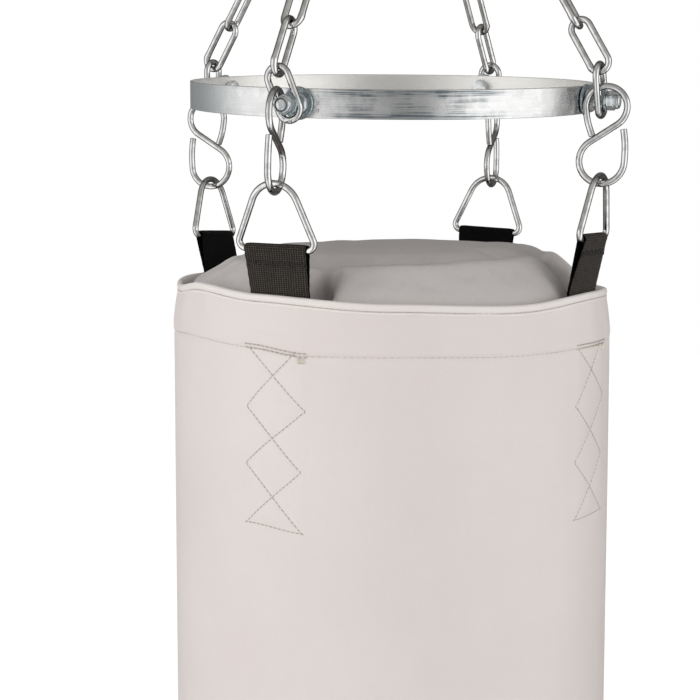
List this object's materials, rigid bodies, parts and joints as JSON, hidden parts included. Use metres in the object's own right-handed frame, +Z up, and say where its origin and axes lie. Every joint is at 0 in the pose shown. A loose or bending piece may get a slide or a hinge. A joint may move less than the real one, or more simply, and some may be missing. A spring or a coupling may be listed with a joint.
{
  "type": "punching bag",
  "caption": "Hanging heavy punching bag: filled cylinder on sewn straps, triangle rings and S-hooks under a steel spreader ring, with chains up to a ball-bearing swivel.",
  "frame": {"origin": "inside top of the swivel's eye, where a ceiling hook bears; the bag hangs below it on the Z axis", "axes": "+Z up along the bag's axis, -Y is the side the picture shows, +X to that viewer's right"},
  "size_m": [0.3523, 0.3523, 1.7961],
  "materials": {
    "zinc": "bright zinc plate",
    "bearing": "ground bearing steel",
    "galvanised": "galvanised, mottled",
    "shell": "satin",
    "cover": "matte",
    "webbing": "matte",
    "filling": "matte"
  },
  "bodies": {
    "hanger": {"swivel_eye": "zinc", "swivel_stem_nut": "zinc", "swivel_lower_race": "bearing"},
    "swivel": {"swivel_bow": "zinc", "swivel_upper_race": "bearing", "swivel_ball_cage": "bearing"},
    "ring": {"master_ring": "zinc"},
    "rig": {"spreader_ring": "galvanised", "chain_front_left": "zinc", "end_link_front_left": "zinc", "ring_bolt_front_left": "zinc", "ring_washer_front_left": "zinc", "clamp_nut_front_left": "zinc", "link_washer_front_left": "zinc", "lock_nut_front_left": "zinc", "chain_back_left": "zinc", "end_link_back_left": "zinc", "ring_bolt_back_left": "zinc", "ring_washer_back_left": "zinc", "clamp_nut_back_left": "zinc", "link_washer_back_left": "zinc", "lock_nut_back_left": "zinc", "chain_back_right": "zinc", "end_link_back_right": "zinc", "ring_bolt_back_right": "zinc", "ring_washer_back_right": "zinc", "clamp_nut_back_right": "zinc", "link_washer_back_right": "zinc", "lock_nut_back_right": "zinc", "chain_front_right": "zinc", "end_link_front_right": "zinc", "ring_bolt_front_right": "zinc", "ring_washer_front_right": "zinc", "clamp_nut_front_right": "zinc", "link_washer_front_right": "zinc", "lock_nut_front_right": "zinc"},
    "hook_front_left": {"s_hook_front_left": "zinc"},
    "hook_back_left": {"s_hook_back_left": "zinc"},
    "hook_back_right": {"s_hook_back_right": "zinc"},
    "hook_front_right": {"s_hook_front_right": "zinc"},
    "bag": {"outer_shell": "shell", "rim_binding": "shell", "top_cover": "cover", "base_panel": "shell", "filling": "filling", "triangle_ring_front_left": "zinc", "strap_front_left": "webbing", "triangle_ring_back_left": "zinc", "strap_back_left": "webbing", "triangle_ring_back_right": "zinc", "strap_back_right": "webbing", "triangle_ring_front_right": "zinc", "strap_front_right": "webbing"}
  },
  "joints": [
    {"name": "swivel_turn", "type": "hinge", "parent": "hanger", "child": "swivel", "pos_m": [0, 0, -0.0488], "axis": [0, 0, 1], "continuous": true},
    {"name": "ring_swing", "type": "hinge", "parent": "swivel", "child": "ring", "pos_m": [0, 0, -0.074], "axis": [0, 1, 0], "range_deg": [-30, 30]},
    {"name": "chain_swing", "type": "hinge", "parent": "ring", "child": "rig", "pos_m": [0, 0, -0.099], "axis": [1, 0, 0], "range_deg": [-30, 30]},
    {"name": "bag_twist", "type": "hinge", "parent": "rig", "child": "bag", "pos_m": [0, 0, -0.534], "axis": [0, 0, 1], "range_deg": [-1.8, 1]},
    {"name": "hook_swing_front_left", "type": "hinge", "parent": "rig", "child": "hook_front_left", "pos_m": [-0.08015, -0.1542, -0.43706], "axis": [-0.4756, -0.8796, 0], "range_deg": [-5.5, 2.8]},
    {"name": "hook_swing_back_left", "type": "hinge", "parent": "rig", "child": "hook_back_left", "pos_m": [-0.15039, 0.08733, -0.43933], "axis": [-0.8669, 0.4984, 0], "range_deg": [-5.5, 2.8]},
    {"name": "hook_swing_back_right", "type": "hinge", "parent": "rig", "child": "hook_back_right", "pos_m": [0.08733, 0.15039, -0.43933], "axis": [0.4984, 0.8669, 0], "range_deg": [-5.5, 2.8]},
    {"name": "hook_swing_front_right", "type": "hinge", "parent": "rig", "child": "hook_front_right", "pos_m": [0.1542, -0.08015, -0.43271], "axis": [0.8796, -0.4756, 0], "range_deg": [-5.5, 2.8]}
  ],
  "couplings": [
    {"joint": "hook_swing_front_left", "follows": "bag_twist", "ratio": 2.7346},
    {"joint": "hook_swing_back_left", "follows": "bag_twist", "ratio": 2.7225},
    {"joint": "hook_swing_back_right", "follows": "bag_twist", "ratio": 2.7225},
    {"joint": "hook_swing_front_right", "follows": "bag_twist", "ratio": 2.7346}
  ]
}
